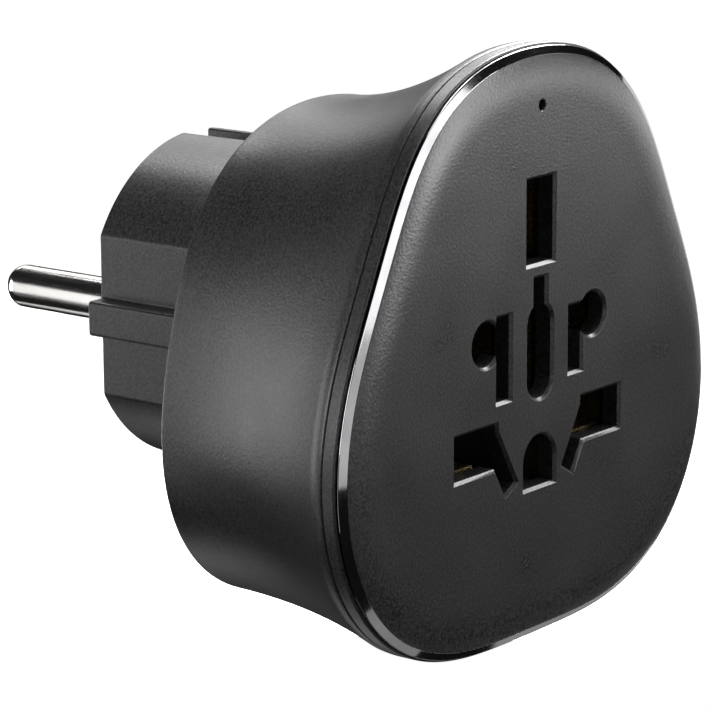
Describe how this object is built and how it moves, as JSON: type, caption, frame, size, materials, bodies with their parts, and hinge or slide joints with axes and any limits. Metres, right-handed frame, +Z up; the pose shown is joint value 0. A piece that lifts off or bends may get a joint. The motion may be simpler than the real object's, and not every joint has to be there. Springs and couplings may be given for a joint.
{
  "type": "universal travel adapter",
  "caption": "Round earthed travel adapter: a universal socket face for pins and blades of many shapes on a two-pin European plug.",
  "frame": {"origin": "centre of the plug face, midway between the two pins", "axes": "+Y along the pins, towards the wall; -Y out of the socket face; +X to the right of somebody who faces the sockets; +Z up, towards the British earth slot"},
  "size_m": [0.0652, 0.0652, 0.0622],
  "materials": {
    "casing": "fine grained charcoal plastic",
    "face": "fine grained charcoal plastic",
    "dark_chrome": "polished black chrome",
    "nickel": "bright nickel plating",
    "brass": "stamped brass strip",
    "insulator": "black moulded insulator",
    "steel": "zinc plated steel",
    "lens": "clear lens plastic",
    "board": "green printed circuit board",
    "ceramic": "lacquered resistor body",
    "red_insulation": "red wire insulation",
    "blue_insulation": "blue wire insulation"
  },
  "bodies": {
    "root": {"centre_earth_contact": "brass", "contact_carrier": "insulator", "contact_retainer": "insulator", "earth_bridge": "brass", "earth_busbar": "brass", "face_plate": "face", "french_earth_sleeve": "nickel", "housing_screw_1": "steel", "housing_screw_2": "steel", "housing_screw_3": "steel", "housing_screw_4": "steel", "indicator_led": "lens", "led_board": "board", "led_line_wire": "red_insulation", "led_neutral_wire": "blue_insulation", "led_resistor": "ceramic", "light_pipe": "lens", "line_busbar": "brass", "line_lower_contact": "brass", "line_pin": "nickel", "line_upper_contact": "brass", "lower_earth_clip": "nickel", "neutral_busbar": "brass", "neutral_lower_contact": "brass", "neutral_pin": "nickel", "neutral_upper_contact": "brass", "plug_body": "casing", "plug_screw_1": "steel", "plug_screw_2": "steel", "rear_shell": "casing", "retainer_screw_1": "steel", "retainer_screw_2": "steel", "rim_frame": "casing", "trim_ring": "dark_chrome", "uk_earth_contact": "brass", "upper_earth_clip": "nickel", "us_earth_contact": "brass"}
  },
  "joints": []
}
